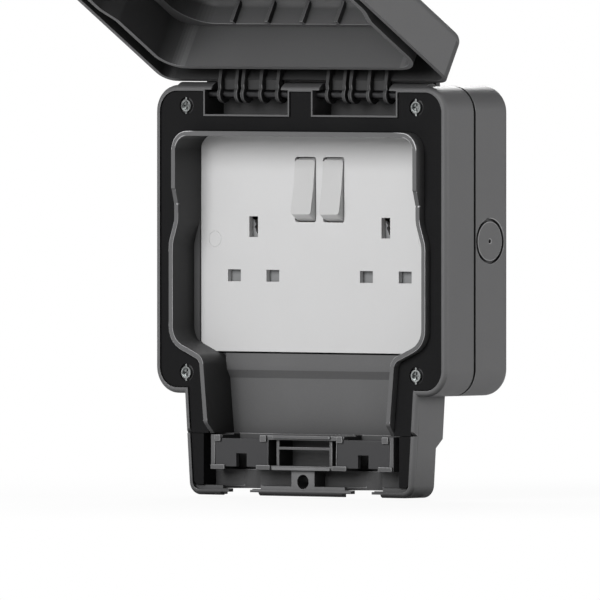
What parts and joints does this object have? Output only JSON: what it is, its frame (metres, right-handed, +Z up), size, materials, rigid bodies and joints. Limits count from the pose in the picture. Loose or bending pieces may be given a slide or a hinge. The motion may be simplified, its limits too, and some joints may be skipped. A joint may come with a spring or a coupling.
{
  "type": "outdoor weatherproof socket",
  "caption": "Weatherproof wall box with hinged lid, cable chute and padlock lug, holding a switched three-pin double outlet with shuttered slots.",
  "frame": {"origin": "centre of the wall-fixing holes, on the back face that meets the wall", "axes": "+X to the right seen from the front, +Z up, and the front faces -Y"},
  "size_m": [0.167, 0.1975, 0.2957],
  "materials": {
    "housing_grey": "fine moulded grain",
    "seal_black": "soft matt",
    "gate_dark": "satin",
    "plate_grey": "semi-gloss",
    "rocker_white": "gloss",
    "shutter_grey": "satin",
    "base_white": "moulded",
    "zinc": "bright zinc plate",
    "pin_steel": "drawn rod",
    "spring_steel": "drawn",
    "brass": "stamped"
  },
  "bodies": {
    "housing": {"back_box": "housing_grey", "front_frame": "housing_grey", "rear_gasket": "seal_black", "face_gasket": "seal_black", "cable_gate_left": "gate_dark", "cable_gate_right": "gate_dark", "socket_plate": "plate_grey", "screw_caps": "plate_grey", "mechanism_base": "base_white", "frame_screws": "zinc", "plate_screws": "zinc", "terminal_screws": "zinc", "hinge_pin_left": "pin_steel", "hinge_pin_right": "pin_steel", "shutter_spring_left": "spring_steel", "shutter_spring_right": "spring_steel", "live_contact_left": "brass", "live_contact_right": "brass", "neutral_bar": "brass", "earth_bar": "brass", "live_feed_bar": "brass"},
    "lid_cover": {"lid": "housing_grey"},
    "rocker_left_body": {"rocker_left": "rocker_white", "switch_contact_left": "brass"},
    "rocker_right_body": {"rocker_right": "rocker_white", "switch_contact_right": "brass"},
    "shutter_left_body": {"shutter_left": "shutter_grey"},
    "shutter_right_body": {"shutter_right": "shutter_grey"}
  },
  "joints": [
    {"name": "lid_hinge", "type": "hinge", "parent": "housing", "child": "lid_cover", "pos_m": [0, -0.043, 0.066], "axis": [-1, 0, 0], "range_deg": [-120, 15]},
    {"name": "rocker_left_tip", "type": "hinge", "parent": "housing", "child": "rocker_left_body", "pos_m": [-0.0081, -0.0276, 0.0228], "axis": [1, 0, 0], "range_deg": [0, 16]},
    {"name": "shutter_left_slide", "type": "slide", "parent": "housing", "child": "shutter_left_body", "axis": [0, 0, -1], "range_m": [0, 0.0075], "stiffness_N_per_m": 80, "springref_m": -0.003, "deforming": ["shutter_spring_left"]},
    {"name": "rocker_right_tip", "type": "hinge", "parent": "housing", "child": "rocker_right_body", "pos_m": [0.0081, -0.0276, 0.0228], "axis": [1, 0, 0], "range_deg": [0, 16]},
    {"name": "shutter_right_slide", "type": "slide", "parent": "housing", "child": "shutter_right_body", "axis": [0, 0, -1], "range_m": [0, 0.0075], "stiffness_N_per_m": 80, "springref_m": -0.003, "deforming": ["shutter_spring_right"]}
  ]
}
